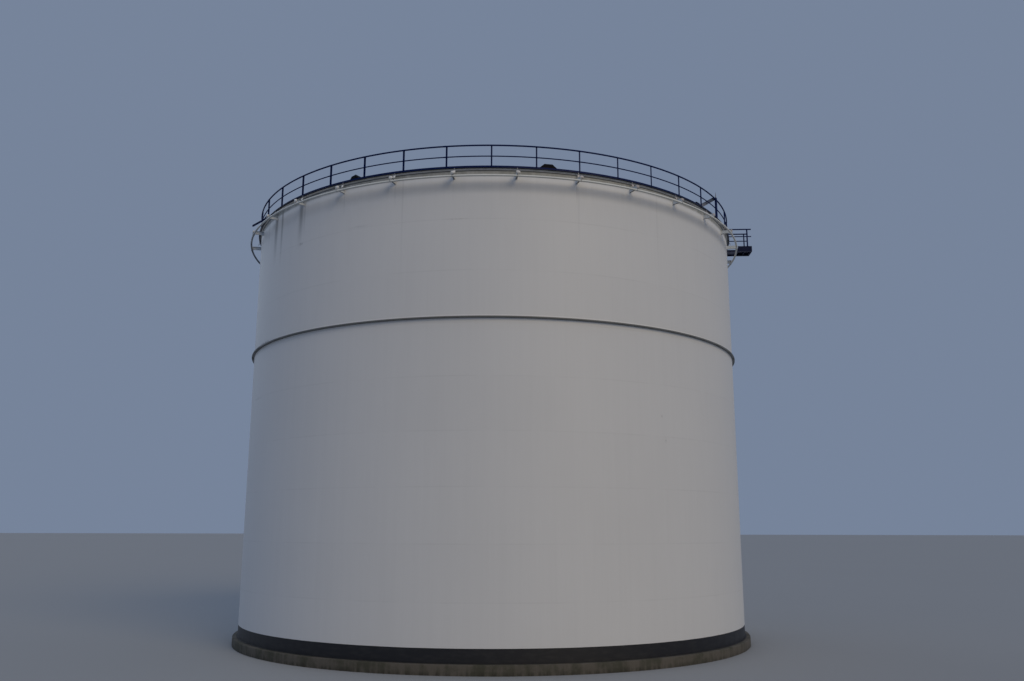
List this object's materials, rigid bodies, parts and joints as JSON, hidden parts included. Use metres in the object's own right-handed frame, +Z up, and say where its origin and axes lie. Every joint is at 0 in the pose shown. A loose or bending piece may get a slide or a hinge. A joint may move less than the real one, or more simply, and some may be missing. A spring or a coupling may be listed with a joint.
{
  "type": "vertical storage tank",
  "caption": "Vertical cylindrical steel storage tank on a round concrete base, with cone roof, rim handrail, spray pipe ring, wind girder and gangway landing.",
  "frame": {"origin": "centre of the underside of the concrete base, at ground level on the tank's axis", "axes": "+Z up along the tank's axis; -Y is the side that the picture shows; +X is the side of the gangway landing, which points 4 degrees from it towards -Y"},
  "size_m": [27.0349, 26.0532, 23.0592],
  "materials": {
    "white_paint": "satin off-white paint, lightly streaked and chalked by weather",
    "navy_paint": "dark navy gloss paint, faded on top faces",
    "dark_paint": "near-black paint, dull and dusty",
    "grey_paint": "pale grey paint, weathered",
    "concrete": "weathered brown-grey concrete, stained and mossy"
  },
  "bodies": {
    "root": {"concrete_base": "concrete", "floor_plate": "dark_paint", "roof_vent_1": "dark_paint", "roof_vent_2": "dark_paint", "roof_vent_3": "dark_paint", "roof_vent_4": "dark_paint", "roof_vent_5": "dark_paint", "roof_vent_6": "dark_paint", "roof_vent_7": "dark_paint", "roof_vent_8": "dark_paint", "roof_vent_9": "dark_paint", "shell_segment_1": "white_paint", "shell_segment_2": "white_paint", "shell_segment_3": "white_paint", "shell_segment_4": "white_paint", "shell_segment_5": "white_paint", "shell_segment_6": "white_paint", "shell_segment_7": "white_paint", "shell_segment_8": "white_paint", "roof_quadrant_1": "white_paint", "roof_quadrant_2": "white_paint", "roof_quadrant_3": "white_paint", "roof_quadrant_4": "white_paint", "curb_angle": "white_paint", "wind_girder": "white_paint", "spray_pipe_1": "white_paint", "spray_pipe_2": "white_paint", "spray_pipe_3": "white_paint", "spray_pipe_4": "white_paint", "spray_pipe_5": "white_paint", "spray_pipe_6": "white_paint", "handrail_panel_1": "navy_paint", "handrail_panel_2": "navy_paint", "handrail_panel_3": "navy_paint", "handrail_panel_4": "navy_paint", "handrail_panel_5": "navy_paint", "handrail_panel_6": "navy_paint", "handrail_panel_7": "navy_paint", "handrail_panel_8": "navy_paint", "handrail_panel_9": "navy_paint", "handrail_panel_10": "navy_paint", "handrail_panel_11": "navy_paint", "handrail_panel_12": "navy_paint", "handrail_panel_13": "navy_paint", "handrail_panel_14": "navy_paint", "hoist_post": "navy_paint", "rim_beam": "navy_paint", "landing_frame": "navy_paint", "landing_rail_near": "navy_paint", "landing_rail_far": "navy_paint", "centre_vent": "grey_paint", "hoist_arm": "grey_paint", "hoist_tip": "grey_paint"}
  },
  "joints": []
}
